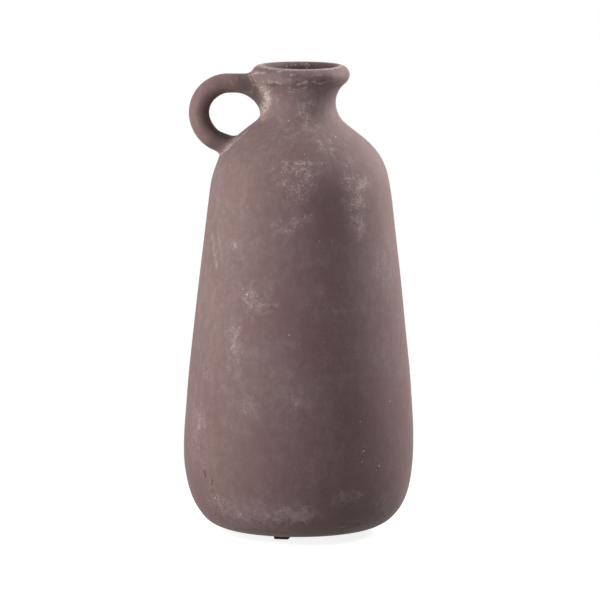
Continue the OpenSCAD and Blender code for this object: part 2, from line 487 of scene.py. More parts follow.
def tube_faces(rows, around):
    """Quads between rings of points that follow each other."""
    return [
        (i * around + j, i * around + (j + 1) % around,
         (i + 1) * around + (j + 1) % around, (i + 1) * around + j)
        for i in range(rows - 1) for j in range(around)
    ]


def closed_tube(rings, ends):
    """A closed mesh from rings of points and the middle point of each end."""
    rows, around = rings.shape[:2]
    points = np.concatenate([rings.reshape(-1, 3), ends])
    low, high, last = rows * around, rows * around + 1, (rows - 1) * around
    faces = tube_faces(rows, around)
    faces += [(low, (j + 1) % around, j) for j in range(around)]
    faces += [(high, last + j, last + (j + 1) % around) for j in range(around)]
    return points, faces


def solid_mesh(name, points, faces):
    """A closed mesh whose faces all point out of the solid."""
    mesh = bpy.data.meshes.new(name)
    mesh.from_pydata([tuple(p) for p in points], [], faces)
    work = bmesh.new()
    work.from_mesh(mesh)
    if work.calc_volume(signed=True) < 0:
        bmesh.ops.reverse_faces(work, faces=work.faces)
    work.to_mesh(mesh)
    work.free()
    return mesh


def skin_rows(outline):
    """Rows of (radius, height) up the outside and down the inside, and how many are outside."""
    fine_from = outline.lift + outline.neck_height - FINE_BELOW_NECK
    outer = spaced(outline.outside, lambda rows: np.where(
        (rows[:, 1] > fine_from) | (rows[:, 1] < FINE_FOOT), FINE_ROW, BODY_ROW))
    inner = spaced(
        outline.inside[::-1],
        lambda rows: np.clip((fine_from - rows[:, 1]) * ROW_GROWTH + FINE_ROW, FINE_ROW, DEEP_ROW),
    )
    floor_height = outline.lift + outline.vessel.floor
    base = [(outline.outside[0, 0] * part, outline.lift) for part in BASE_RINGS]
    floor = [(outline.inside[0, 0] * part, floor_height) for part in BASE_RINGS[::-2]]
    return np.concatenate([base, outer, inner[1:], floor]), len(base) + len(outer)


def shell_rings(outline):
    """Rings of the vessel's skin, and the middle point of the base and of the floor inside."""
    vessel, neck = outline.vessel, outline.neck
    rows, outer_count = skin_rows(outline)
    turn = np.linspace(0, FULL_TURN, AROUND, endpoint=False)[None, :]
    turn, radius, height = np.broadcast_arrays(turn, rows[:, :1], rows[:, 1:])
    is_outer = np.arange(len(rows))[:, None] < outer_count
    outer_part = outer_push(outline, turn, height)
    waves = WAVE_SHARE * unevenness(turn, height, "outside")
    inner_part = vessel.unevenness * (waves + INNER_RIB_SHARE * throwing_ribs(turn, height, "inside ribs"))
    lip = lip_share(outline, height)
    push = np.where(is_outer, outer_part, inner_part * (1 - lip) + outer_part * lip)
    floor_height = outline.lift + vessel.floor
    is_flat = (radius < vessel.base_width / 2) & (height < floor_height + MM)
    radius = radius + np.where(is_flat, 0, push)
    height = height + np.where(is_outer, sag(outline, radius * np.sin(turn), radius, height), 0)
    risen = np.clip((height - outline.lift - neck.lip_height) / neck.lip_rise, 0, 1)
    height = height - risen * crest_dip(neck, turn)
    rings = np.stack([radius * np.sin(turn), -radius * np.cos(turn), height], axis=-1)
    return rings, [(0, 0, outline.lift), (0, 0, floor_height)]


# Handle mesh

RING_POINTS = 72
HANDLE_STEP = 1.3 * MM
# The top runs onto the lip this far inside the lip's widest line, and stays this far below its crest.
LIP_HOLD = 3 * MM
CREST_CLEAR = 0.5 * MM
# How far an end ring may slide along the handle to lie inside the wall, and how often that is halved.
SINK_RANGE = (-20 * MM, 30 * MM)
HALVINGS = 40
# The handle's length, as the waves of its stray count it.
STRAY_LENGTH = 0.12
# How the pulled roll strays from a true loop: angle round the loop (90 is its top, 180 its far side),
# and how far the outer and the inner face stand out there.
HAND_PULLED = in_metres([
    (50, 0.0, 0.0),
    (62, 0.0, -0.3),
    (80, 0.0, -0.5),
    (100, 0.0, 0.0),
    (122, -0.15, 0.7),
    (145, -0.25, 0.8),
    (180, -0.5, 0.9),
    (203, -0.6, 1.1),
    (218, -0.45, 0.9),
    (232, -0.1, 0.35),
    (246, 0.1, -0.4),
    (258, 0.3, -0.5),
    (275, 0.1, 0.0),
], 1, 2)


def concave(radius, distance):
    """How far a concave corner has spread at a distance from the surface that it runs onto."""
    left = radius - np.clip(distance, 0, radius)
    return radius - np.sqrt(radius ** 2 - left ** 2)


class Handle:
    """The handle as slices along its middle line, in the plane of distance out and height."""

    def __init__(self, outline, sizes):
        self.outline, self.sizes = outline, sizes
        self.loop_out = sizes.reach - sizes.thickness / 2 - sizes.loop_radius
        self.loop_top = outline.lift + outline.neck.lip_height + sizes.top - sizes.thickness / 2
        self.loop_height = self.loop_top - sizes.loop_radius
        self.dip_way = np.array([-math.cos(sizes.dip), -math.sin(sizes.dip)])
        self.loop_end = np.array([
            self.loop_out + sizes.loop_radius * math.sin(sizes.dip),
            self.loop_height - sizes.loop_radius * math.cos(sizes.dip),
        ])
        self.sink = outline.vessel.wall / 2

    def lower_run(self):
        """Distance along the lower end to the outside of the body."""
        near, far = 0.0, self.loop_out
        for _ in range(HALVINGS):
            middle = (near + far) / 2
            out, height = self.loop_end + middle * self.dip_way
            near, far = (middle, far) if out > self.outline.radius_at(height) else (near, middle)
        return near

    def slices(self):
        """For each slice: its middle, its outward way, outer and inner half thickness, half width."""
        s, o = self.sizes, self.outline
        half, wide = s.thickness / 2, s.width / 2
        start = o.neck_r - self.sink
        made = []
        for out in np.arange(start, self.loop_out, HANDLE_STEP):
            fillet = concave(s.lip_radius, out - o.lip_r + LIP_HOLD)
            fillet = min(fillet, o.neck.lip_rise - s.top - CREST_CLEAR)
            made.append((
                (out, self.loop_top), (0, 1), half + fillet,
                half + concave(s.web_radius, out - o.neck_r - s.web_out),
                wide + concave(s.spread_radius, out - o.neck_r + o.vessel.wall / 2),
            ))
        bend = HALF_TURN - s.dip
        for i in range(int(bend * s.loop_radius / HANDLE_STEP) + 1):
            a = math.pi / 2 - min(i * HANDLE_STEP / s.loop_radius, bend)
            way = np.array([math.cos(a), math.sin(a)])
            middle = np.array([self.loop_out, self.loop_height]) + s.loop_radius * way
            web = concave(s.web_radius, middle[0] - o.neck_r - s.web_out) if way[0] > 0 or way[1] > 0 else 0
            made.append((middle, way, half, half + web, wide))
        run = self.lower_run()
        for along in np.arange(HANDLE_STEP, run + o.vessel.wall, HANDLE_STEP):
            left = run - along
            made.append((
                self.loop_end + along * self.dip_way, (math.sin(s.dip), -math.cos(s.dip)),
                half + concave(s.root_outer, left), half + concave(s.root_inner, left),
                wide + concave(s.root_side, left),
            ))
        return made

    def rings(self):
        """Rings of points round the handle, with the two end rings sunk into the clay of the wall."""
        around = np.linspace(0, FULL_TURN, RING_POINTS, endpoint=False)
        sine = np.sin(around)
        angles, outer_stray, inner_stray = np.array(HAND_PULLED).T
        rings = []
        for middle, way, outer, inner, wide in self.slices():
            turned = math.degrees(math.atan2(middle[1] - self.loop_height, self.loop_out - middle[0])) % 360
            outer = outer + np.interp(turned, angles, outer_stray)
            inner = inner + np.interp(turned, angles, inner_stray)
            thick = np.where(sine > 0, outer, inner) * sine
            rings.append(np.column_stack([
                -(middle[0] + thick * way[0]), wide * np.cos(around), middle[1] + thick * way[1],
            ]))
        rings = np.array(rings)
        along = np.linspace(0, 1, len(rings))[:, None] * STRAY_LENGTH
        stray = unevenness(around[None, :], along, "handle") * self.sizes.unevenness
        middle = rings.mean(axis=1, keepdims=True)
        outward = rings - middle
        rings = rings + outward / np.linalg.norm(outward, axis=2, keepdims=True) * stray[:, :, None]
        rings[0] = self.sunk(rings[0], np.array([1.0, 0, 0]))
        rings[-1] = self.sunk(rings[-1], np.array([-self.dip_way[0], 0, self.dip_way[1]]))
        return rings

    def sunk(self, ring, way):
        """The ring moved along the handle until it lies inside the clay of the wall."""
        depth = self.sink
        near, far = (np.full(len(ring), end) for end in SINK_RANGE)
        for _ in range(HALVINGS):
            middle = (near + far) / 2
            moved = ring + middle[:, None] * way
            radius = np.hypot(moved[:, 0], moved[:, 1])
            outside = radius > self.outline.radius_at(moved[:, 2]) - depth
            near, far = np.where(outside, middle, near), np.where(outside, far, middle)
        return ring + near[:, None] * way


# Joining the handle to the body

# A point this close to a surface lies on it, and points near the seam this close become one.
ON_SURFACE = 0.01 * MM
MERGE = 0.25 * MM
# How often the seam's points move towards their neighbours' middle, and how much of the way.
SEAM_PASSES = 20
SEAM_PULL = 0.6


def as_tree(mesh):
    """The mesh as a tree for finding its nearest point."""
    points = [v.co.copy() for v in mesh.vertices]
    return BVHTree.FromPolygons(points, [tuple(p.vertices) for p in mesh.polygons])


def fused(body, handle, name):
    """One mesh of both, and a tree of the points on the seam between them."""
    first = bpy.data.objects.new("clay_body", body)
    second = bpy.data.objects.new("clay_handle", handle)
    for part in (first, second):
        bpy.context.scene.collection.objects.link(part)
    union = first.modifiers.new("Union", "BOOLEAN")
    union.operation = "UNION"
    union.solver = "MANIFOLD"
    union.object = second
    bpy.context.view_layer.update()
    mesh = bpy.data.meshes.new_from_object(first.evaluated_get(bpy.context.evaluated_depsgraph_get()))
    mesh.name = name
    trees = [as_tree(body), as_tree(handle)]
    seam = [
        v.co.copy() for v in mesh.vertices
        if all(tree.find_nearest(v.co, ON_SURFACE)[0] is not None for tree in trees)
    ]
    for part in (first, second):
        bpy.data.objects.remove(part)
    if not seam:
        raise RuntimeError("the handle doesn't meet the body")
    near_seam = KDTree(len(seam))
    for i, place in enumerate(seam):
        near_seam.insert(place, i)
    near_seam.balance()
    return mesh, near_seam


def cut_to_triangles(work, near_seam, reach):
    """Splits the faces along the seam, and every face of more than four sides, into triangles."""
    tight = [f for f in work.faces if len(f.verts) > 4 or near_seam.find(f.calc_center_median())[2] < reach]
    bmesh.ops.triangulate(work, faces=tight, quad_method="BEAUTY", ngon_method="BEAUTY")


def soften_seam(mesh, near_seam, reach):
    """Smooths the joint, most at the seam and not at all beyond reach."""
    work = bmesh.new()
    work.from_mesh(mesh)
    close = [v for v in work.verts if near_seam.find(v.co)[2] < reach]
    bmesh.ops.remove_doubles(work, verts=close, dist=MERGE)
    cut_to_triangles(work, near_seam, reach)
    near = [e for e in work.edges if all(near_seam.find(v.co)[2] < reach for v in e.verts)]
    bmesh.ops.subdivide_edges(work, edges=near, cuts=1)
    cut_to_triangles(work, near_seam, reach)
    close = [(v, near_seam.find(v.co)[2]) for v in work.verts]
    close = [(v, (1 - d / reach) ** 0.5) for v, d in close if d < reach]
    for _ in range(SEAM_PASSES):
        moved = []
        for v, pull in close:
            around = [e.other_vert(v).co for e in v.link_edges]
            middle = sum(around, Vector()) / len(around)
            moved.append(v.co.lerp(middle, SEAM_PULL * pull))
        for (v, _pull), place in zip(close, moved):
            v.co = place
    work.normal_update()
    work.to_mesh(mesh)
    work.free()


# Washes and marks, worked out on the skin; their tables are in degrees and millimetres

# Patches of the chalky wash: turn from the front, height, half width and half height, tilt (tops to
# the right), and strength.
WASHES = in_metres([
    (-7, 303, 9.4, 6.8, 0, 0.75),
    (4, 304, 9.8, 5.0, 0, 0.85),
    (-3, 292, 9.6, 8.2, 10, 0.8),
    (5, 292, 4.9, 6.7, 25, 0.85),
    (-1, 283, 6.5, 5.7, 30, 0.75),
    (-6, 280, 6.5, 4.9, 0, 0.45),
    (0, 263, 7.3, 2.9, -20, 0.75),
    (-6, 257, 7.4, 2.4, -15, 0.7),
    (-14, 262, 4.2, 2.9, 0, 0.55),
    (-2, 270, 4.9, 4.9, 0, 0.4),
    (42, 291, 7.0, 5.4, 0, 1.5),
    (33, 293, 4.6, 6.9, 0, 1.2),
    (39, 278, 7.0, 10, 4, 1.4),
    (39, 261, 5.4, 10, 4, 1.2),
    (36, 305, 6.1, 6.4, 0, 0.7),
    (19, 323, 3.2, 15, 0, 0.7),
    (14, 312, 3.3, 6.1, 0, 0.45),
    (9, 338, 4.9, 4.9, 0, 0.75),
    (3, 349, 3.7, 4.9, 0, 0.7),
    (13, 344, 2.5, 5.3, 0, 0.5),
    (-42, 242, 7.7, 2.9, 0, 0.7),
    (-28, 200, 8.2, 9.9, -15, 0.55),
    (-31, 202, 4.7, 5.7, 0, 0.75),
    (-24, 190, 5.3, 3.3, 0, 0.4),
    (-37, 166, 4.6, 11.4, 0, 0.8),
    (-36, 152, 4.0, 7.3, 0, 0.65),
    (-35, 141, 3.5, 4.9, 0, 0.4),
    (-27, 113, 7.3, 4.9, 20, 0.6),
    (-40, 101, 4.3, 2.4, 0, 0.35),
    (-1, 122, 8.9, 6.5, 0, 0.42),
    (-5, 142, 4.1, 3.3, 0, 0.35),
    (14, 152, 4.2, 3.3, 0, 0.35),
    (-3, 165, 4.9, 4.1, 0, 0.25),
    (17, 196, 6.8, 3.3, 0, 0.25),
    (-30, 23, 12.5, 4.8, 5, 0.8),
    (0, 27, 11, 4.3, 0, 1.9),
    (52, 32.5, 4, 3.6, 0, 0.8),
    (41, 31.7, 3, 3, 0, 0.7),
    (-12, 331, 14, 9, 0, 0.4),
    (23, 40, 8.9, 4.6, -8, 1.5),
    (31, 41, 6.5, 5.4, 0, 1.2),
    (50, 30, 10.6, 6.6, 30, 1.0),
    (-45, 31, 11.4, 9.4, 30, 0.5),
    (-13, 22, 11.7, 5.0, 0, 0.8),
    (61, 223, 12, 18, 0, 0.35),
    (25, 191, 21, 3.6, 0, 0.35),
    (12, 203, 3.3, 7.2, 0, 0.4),
    (27, 321, 3.4, 9, 0, 0.5),
    (51, 224, 5.2, 8.2, 0, 0.45),
    (45, 206, 4.6, 6.5, 0, 0.25),
    (-59, 93, 6.4, 13, 6, 0.55),
    (-67, 97, 7, 21, 3, 0.4),
    (-56, 138, 5.1, 6.5, 0, 0.4),
    (-56, 70, 8.7, 11.4, 0, 0.3),
    (-40, 369, 7, 2.5, 8, 0.6),
    (50, 376, 9.0, 5, 0, 0.35),
    (10, 352.5, 3, 3.2, 0, 1.5),
    (5, 344.6, 5, 2, 0, 1.4),
    (168, 240, 9, 22, 12, 0.85),
    (177, 262, 7, 9, -20, 0.6),
    (128, 150, 8, 20, -14, 0.6),
    (121, 128, 6, 9, 0, 0.75),
    (205, 110, 12, 14, 20, 0.5),
    (232, 300, 8, 12, -30, 0.7),
    (143, 300, 12, 4, 10, 0.5),
    (96, 262, 7, 15, 8, 0.5),
    (84, 120, 7, 17, 10, 0.45),
    (-102, 205, 8, 16, -8, 0.5),
    (-128, 70, 12, 10, 0, 0.45),
    (120, 25, 16, 6, 0, 0.8),
    (152, 30, 14, 6, 0, 0.7),
    (190, 24, 20, 6, 0, 0.6),
    (235, 29, 13, 6, 0, 0.75),
    (85, 30, 13, 7, 0, 0.45),
    (13, 356, 5, 7, 0, 0.7),
    (-50, 356, 9, 9, 0, 0.3),
    (0, 372, 20, 4, 0, 0.4),
    (165, 350, 26, 12, 0, 0.3),
], 1, 2, 3)
# Places where a thin even haze of the wash lies, in the same form. Painted light is laid in the same way: a
# paler sheen over the lit left side and the right edge, light on the neck and at the foot, and a highlight
# on the lip.
HAZES_AND_PAINTED_LIGHT = in_metres([
    (-62, 200, 34, 110, 0, 0.42),
    (-60, 330, 20, 24, 0, 0.3),
    (24, 358, 11, 11, 0, 0.75),
    (0, 352, 12, 11, 0, 0.45),
    (-16, 28, 26, 8, 0, 0.95),
    (-28, 13, 40, 3.4, 0, 1.0),
    (72, 290, 14, 60, 0, 0.5),
    (50, 376, 9, 5, 0, 0.5),
    (160, 190, 40, 70, 0, 0.35),
], 1, 2, 3)
# Places rubbed bare and dark, in the same form.
BARES = in_metres([
    (20, 287, 12, 34, -8, 0.6),
    (34, 25, 10, 5.6, -12, 1.0),
    (10, 42, 9, 6.5, -20, 0.7),
    (24, 16, 44, 10, 0, 1.0),
    (150, 200, 18, 40, 6, 0.8),
    (222, 210, 16, 30, -10, 0.8),
], 1, 2, 3)
# Single light strokes: half width, strength, then the turn and height of each point.
STROKES = [
    (1.1, 1.2, (-83, 309.7), (-76, 314.5), (-74, 321.1), (-74, 327.4)),
    (0.9, 0.75, (-4, 308.5), (4, 308.6), (10, 307.6), (15, 308.2)),
    (1.3, 0.35, (-66, 246), (-63, 240), (-61, 233), (-58, 226), (-56, 222)),
    (1.1, 0.35, (-59, 252), (-57, 244), (-54, 237), (-52, 231)),
    (0.7, 0.3, (-24, 195), (-18, 195.4), (-12, 195)),
    (0.6, 0.3, (-20.5, 185), (-20, 188), (-18, 190), (-15.5, 190.5)),
    (0.9, 0.9, (27, 15.1), (30, 15.1), (34, 14.2), (40, 12.9)),
    (0.7, 0.7, (40, 15.7), (46, 15.6), (51, 14.1)),
    (0.7, 0.5, (33, 11.7), (41, 11.2)),
    (1.2, 0.5, (30, 45), (31, 41.3)),
    (0.7, 0.75, (-74, 375.4), (-62, 376.8), (-50, 377)),
    (0.6, 0.8, (-31, 378.8), (-25, 379.5)),
    (0.6, 0.7, (-13, 376.6), (-7, 376.7)),
    (0.6, 0.8, (12, 376.2), (19, 376.4), (25, 376.8)),
    (0.7, 0.8, (-64, 368.8), (-53, 369.6)),
    (0.9, 0.9, (-44, 369.2), (-37, 370.7), (-27, 368.9)),
    (0.7, 0.8, (-5, 368.6), (1, 370.3), (7, 371.2)),
    (0.7, 1.0, (14, 371.5), (22, 369.7), (26, 369.7), (31, 371.6)),
    (0.8, 1.0, (-17, 365.7), (-12, 364.1), (-2, 364.6), (6, 366.4)),
    (0.6, 0.7, (-18, 362.7), (-6, 362.4), (4, 363.8)),
    (0.8, 0.5, (150, 369), (164, 370.4), (178, 369.4)),
    (0.8, 0.5, (200, 368), (212, 369.6), (226, 368.8)),
    (1.0, 0.4, (118, 250), (122, 238), (128, 226), (136, 217)),
]
# Folds pressed into the clay under the lip, in the same form as the strokes; besides their bump, painted
# shade darkens each fold.
FOLDS = [
    (0.6, 0.7, (-23, 375.2), (-11, 375.1), (2, 376)),
    (1.0, 1.0, (-43, 367.1), (-36, 367.6), (-30, 367.1)),
    (0.6, 0.8, (-7, 369.8), (-2, 370.9), (3, 371.9)),
    (0.6, 0.6, (9, 372.6), (15, 372.2), (21, 371.2), (29, 372), (38, 373)),
    (0.6, 0.6, (-15, 364.6), (-9, 363.2), (1, 363.6)),
    (0.7, 0.6, (-50, 361.8), (-43, 361.6), (-37, 361.4)),
    (0.7, 0.5, (-30, 368), (-18, 367.2), (-8, 367.8)),
    (0.9, 0.8, (146, 367.4), (162, 369), (178, 368), (196, 367), (214, 368)),
    (1.2, 0.6, (25, 19.1), (29, 17.9), (36, 17.3), (41, 16.3)),
    (0.8, 0.6, (46, 10.1), (50, 10.1), (50, 11.4), (43, 13.5)),
    (0.8, 0.7, (70, 368), (84, 369.4), (98, 368.2)),
]
# Rust-tinted places, in the same form.
RUSTS = in_metres([
    (-49, 283, 14, 34, 10, 0.8),
    (-54, 182, 14, 22, 0, 0.7),
    (-45, 75, 12, 18, 0, 0.7),
    (-52, 44, 8, 10, 0, 0.8),
    (34, 70, 8, 8, 0, 0.6),
    (22, 210, 16, 20, 30, 0.35),
    (140, 280, 18, 26, 0, 0.6),
    (190, 180, 20, 30, 20, 0.5),
], 1, 2, 3)
# Single pits and single white dots: turn, height, radius.
PITS = in_metres([
    (-54.4, 57.0, 1.1),
    (-54.2, 55.3, 1.4),
    (-54.0, 53.6, 1.3),
    (-48.7, 50.4, 0.9),
    (-49.2, 47.9, 1.0),
    (-48.9, 43.6, 0.8),
    (-50.0, 41.5, 0.9),
    (33.1, 73.5, 0.9),
    (42.7, 62.2, 0.8),
    (160, 210, 1.1),
    (201, 96, 1.2),
], 1, 2)
DOTS = in_metres([
    (-54.0, 62.2, 0.6),
    (-58.0, 61.4, 0.4),
    (-50.3, 49.4, 0.5),
    (-49.0, 45.6, 0.4),
    (-48.8, 36.8, 0.7),
    (-46.8, 35.5, 0.5),
    (-46.6, 31.3, 0.4),
    (-36.0, 40.0, 0.5),
    (24.0, 38.6, 0.5),
    (50.0, 23.7, 0.6),
    (-30.8, 203.0, 0.9),
    (-17.7, 339.3, 0.6),
    (38.3, 327.1, 0.7),
    (3.0, 314.7, 0.55),
    (11.3, 247.0, 0.4),
    (19.3, 246.8, 0.4),
    (3.5, 197.1, 0.4),
    (-5.7, 172.4, 0.6),
    (33.2, 69.4, 0.8),
    (34.0, 78.0, 0.7),
    (44.2, 64.4, 0.7),
    (53.4, 115, 0.5),
    (32.2, 102, 0.5),
    (152, 262, 0.8),
], 1, 2)
# The thick smear of wash down the handle's upper joint: distance out from the axis, height, half width,
# strength. It lies on the front of the joint, and a thinner one on the back.
SMEAR = in_metres([
    (36.4, 366, 1.4, 0.7),
    (31.8, 364.5, 2.4, 1.0),
    (28.0, 360.6, 3.2, 1.1),
    (27.2, 354.4, 3.2, 1.1),
    (29.0, 348.1, 2.6, 1.0),
    (30.6, 343.1, 2.2, 0.9),
    (32, 339, 1.5, 0.6),
], 0, 1, 2)
SMEAR_BACK = 0.6
# Scratches on the handle near that joint, each in the same form.
HANDLE_SCRATCHES = [in_metres(scratch, 0, 1, 2) for scratch in (
    [(52, 372.5, 0.5, 0.7), (51.6, 366, 0.5, 0.3)],
    [(49, 372.6, 0.5, 0.6), (45.4, 371.4, 0.5, 0.6)],
    [(42.4, 374, 0.8, 0.7), (39.4, 368, 0.6, 0.5),
     (38.6, 361, 0.6, 0.5)],
    [(41.4, 363, 0.6, 0.6), (39.8, 358.5, 0.6, 0.4)],
    [(46, 360.4, 0.5, 0.5), (42, 359.6, 0.5, 0.5)],
    [(57, 369, 0.5, 0.3), (55, 366, 0.5, 0.4)],
)]
# Wash on the wall inside the mouth, in the form of the patches, and single flecks of it there, in the
# form of the dots.
MOUTH_WASHES = in_metres([
    (176, 379, 9, 2.6, 0, 0.15),
    (-10, 374, 8, 5, 0, 0.6),
], 1, 2, 3)
MOUTH_DOTS = in_metres([
    (178.7, 379.8, 1.0),
    (171.5, 379.9, 1.0),
    (-169.7, 379.0, 1.0),
    (-162.8, 379.2, 0.9),
    (167.0, 379.1, 0.9),
    (-153.9, 378.5, 0.9),
    (170.3, 377.5, 1.0),
    (-166.4, 380.2, 0.6),
    (-175.0, 378.6, 0.6),
    (174.8, 378.8, 0.6),
    (155.2, 380.1, 0.7),
    (148.6, 378.9, 0.6),
    (-145.1, 380.4, 0.6),
    (24.0, 376.5, 0.8),
    (-31.0, 374.2, 0.9),
], 1, 2)
# Shade is painted on the clay from this far below the crest down into the mouth.
MOUTH_SHADE_FADE = 1.9 * MM
MOUTH_SHADE_FADE_POWER = 1.5
# Painted shade also darkens the handle a little way along from its joints with the body.
JOINT_SHADE = 0.75
JOINT_SHADE_MIDDLE = 10 * MM
JOINT_SHADE_SPREAD = 7 * MM
# Wash left in the crease round the joints: half widths of the thick line and of the thin spread.
CREASE_LINE = 0.8 * MM
CREASE_SPREAD = 1.9 * MM
CREASE_WASH = 0.5
# Wash and a painted highlight along the lip's crest: radius, half width, height above the lip's widest line
# from which it lies, and its share that is even all round; the rest is strongest at the front.
RIM_RADIUS = 33 * MM
RIM_LINE = 1.8 * MM
RIM_ABOVE = 4 * MM
RIM_EVEN = 0.75
# Points further than this from the turned wall are the handle's, which has even marks of its own.
HANDLE_CLEAR = 1.6 * MM
HANDLE_BARE = 0.5
HANDLE_HAZE = 0.32
HANDLE_RUST = 0.3
# Points below this height above the base are outside, under the vase.
UNDERSIDE = 4 * MM
# How much of each kind of mark is thick chalk; the painted highlight along the lip's crest is laid in as
# thick chalk too.
CHALK_AND_HIGHLIGHT_SHARES = {"crease": 0.7, "smear": 0.8, "stroke": 0.75, "scratch": 0.7, "crest_wash_and_highlight": 1.5}
# The patches' edges wander: how far, in how many waves, and how long these are.
WANDER = 1.2 * MM
WANDER_WAVES = 14
WANDER_LENGTHS = (7 * MM, 22 * MM)


def wander(points, seed):
    """A soft sideways shift in metres that makes a patch's edge irregular."""
    draw = random.Random(seed)
    total = np.zeros(len(points))
    for _ in range(WANDER_WAVES):
        way = np.array([draw.gauss(0, 1) for _ in range(3)])
        way = way / np.linalg.norm(way) * FULL_TURN / draw.uniform(*WANDER_LENGTHS)
        total = total + np.sin(points @ way + draw.uniform(0, FULL_TURN))
    return total * WANDER / math.sqrt(WANDER_WAVES / 2)


def turn_and_radius(points):
    """Each point's turn from the front, and its distance from the axis."""
    return np.arctan2(points[:, 0], -points[:, 1]), np.hypot(points[:, 0], points[:, 1])


def patches(points, places):
    """The strongest of the soft patches at each point."""
    turn, radius = turn_and_radius(points)
    aside, above = wander(points, "aside"), wander(points, "above")
    strongest = np.zeros(len(points))
    for centre_turn, height, half_width, half_height, tilt, strength in places:
        across = (turn - math.radians(centre_turn) + HALF_TURN) % FULL_TURN - HALF_TURN
        x, z = across * radius + aside, points[:, 2] - height + above
        c, s = math.cos(math.radians(tilt)), math.sin(math.radians(tilt))
        far = ((x * c - z * s) / half_width) ** 2 + ((x * s + z * c) / half_height) ** 2
        strongest = np.maximum(strongest, strength * np.exp(-far * 0.5))
    return strongest


def line_marks(x, z, line):
    """How strongly a line of (x, z, half width, strength) points marks each place."""
    strongest = np.zeros(len(x))
    for (x0, z0, width, strength), (x1, z1, next_width, next_strength) in zip(line, line[1:]):
        across, up = x1 - x0, z1 - z0
        along = np.clip(((x - x0) * across + (z - z0) * up) / (across ** 2 + up ** 2), 0, 1)
        away = np.hypot(x - x0 - along * across, z - z0 - along * up)
        far = away / (width + along * (next_width - width))
        mark = (strength + along * (next_strength - strength)) * np.exp(-0.7 * far ** 2)
        strongest = np.maximum(strongest, mark)
    return strongest


def strokes(points, marks):
    """The strongest of the strokes on the wall at each point."""
    turn, radius = turn_and_radius(points)
    strongest = np.zeros(len(points))
    for width, strength, *places in marks:
        middle = math.radians(places[len(places) // 2][0])
        across = ((turn - middle + HALF_TURN) % FULL_TURN - HALF_TURN) * radius
        line = [((math.radians(t) - middle) * radius, z * MM, width * MM, strength) for t, z in places]
        strongest = np.maximum(strongest, line_marks(across, points[:, 2], line))
    return strongest


def put_attribute(mesh, name, values):
    """Stores a value for each point of the mesh."""
    attribute = mesh.attributes.new(name, "FLOAT", "POINT")
    attribute.data.foreach_set("value", np.asarray(values, dtype=np.float32))


def mark_skin(mesh, outline, near_seam):
    """Stores how strong each kind of mark is at every point of the skin, for the clay's material."""
    points = np.empty(len(mesh.vertices) * 3, dtype=np.float32)
    mesh.vertices.foreach_get("co", points)
    points = points.reshape(-1, 3).astype(float)
    turn, radius = turn_and_radius(points)
    height = points[:, 2]
    lip_height = outline.lift + outline.neck.lip_height
    outside = outline.radius_at(height)
    on_body = np.abs(radius - outside) < HANDLE_CLEAR + outline.vessel.swelling
    on_front = points[:, 1] < 0
    inside = radius < np.minimum(outside - outline.vessel.wall / 2, outline.crest_r)
    inside = inside & (height > outline.lift + UNDERSIDE)

    # Painted shade inside the mouth, deepening from just below the crest.
    crest = lip_height + outline.neck.lip_rise - crest_dip(outline.neck, turn)
    below_crest = np.clip(crest - height, 0, None)
    hollow = inside * (1 - np.exp(-(below_crest / MOUTH_SHADE_FADE) ** MOUTH_SHADE_FADE_POWER))
    crease = np.array([near_seam.find(Vector(p))[2] for p in points])
    # Painted shade on the handle, strongest this far along from the seam.
    joint_shade = JOINT_SHADE * np.exp(-((crease - JOINT_SHADE_MIDDLE) / JOINT_SHADE_SPREAD) ** 2) * ~on_body

    out = -points[:, 0]
    scratch = np.max([line_marks(out, height, line) for line in HANDLE_SCRATCHES], axis=0)
    # Wash and painted highlight along the lip's crest, stronger at the front.
    crest_wash_and_highlight = np.exp(-((radius - RIM_RADIUS) / RIM_LINE) ** 2) * (height > lip_height + RIM_ABOVE)
    found = {
        "crease": np.exp(-(crease / CREASE_LINE) ** 2),
        "smear": line_marks(out, height, SMEAR) * np.where(on_front, 1, SMEAR_BACK),
        "stroke": strokes(points, STROKES) * on_body,
        "scratch": scratch * on_front,
        "crest_wash_and_highlight": crest_wash_and_highlight * (RIM_EVEN + (1 - RIM_EVEN) * np.cos(turn)),
    }
    # Thick chalk, with the painted highlight along the lip's crest among it.
    chalk = np.max([share * found[name] for name, share in CHALK_AND_HIGHLIGHT_SHARES.items()], axis=0)
    found["crease"] = CREASE_WASH * np.exp(-(crease / CREASE_SPREAD) ** 2)
    found["patch"] = patches(points, WASHES) * on_body
    found["mouth"] = patches(points, MOUTH_WASHES) * inside

    put_attribute(mesh, "wash", np.max(list(found.values()), axis=0))
    put_attribute(mesh, "chalk", chalk)
    # The haze holds both thin wash and painted light.
    put_attribute(mesh, "haze_and_painted_light", np.where(on_body, patches(points, HAZES_AND_PAINTED_LIGHT), HANDLE_HAZE) * ~inside)
    put_attribute(mesh, "bare", np.where(on_body, patches(points, BARES), HANDLE_BARE))
    put_attribute(mesh, "fold", strokes(points, FOLDS) * on_body)
    put_attribute(mesh, "rust", np.where(on_body, patches(points, RUSTS), HANDLE_RUST))
    # The hollow attribute holds the painted shade in the mouth and on the handle beside its joints.
    put_attribute(mesh, "hollow", np.maximum(hollow, joint_shade))


# Materials

def lay(tree, kind, links=None, **settings):
    """A new node: settings are its own values, and links gives its inputs a value or another output."""
    node = tree.nodes.new(kind)
    for key, value in settings.items():
        setattr(node, key, value)
    for key, value in (links or {}).items():
        if isinstance(value, bpy.types.NodeSocket):
            tree.links.new(value, node.inputs[key])
        else:
            node.inputs[key].default_value = value
    return node


def noise(tree, place, scale, detail, rough, twist=0.0):
    """Cloudy noise; scale is how many features lie in a metre."""
    node = lay(tree, "ShaderNodeTexNoise", {
        "Vector": place, "Scale": scale, "Detail": detail, "Roughness": rough, "Distortion": twist})
    return node.outputs["Fac"]


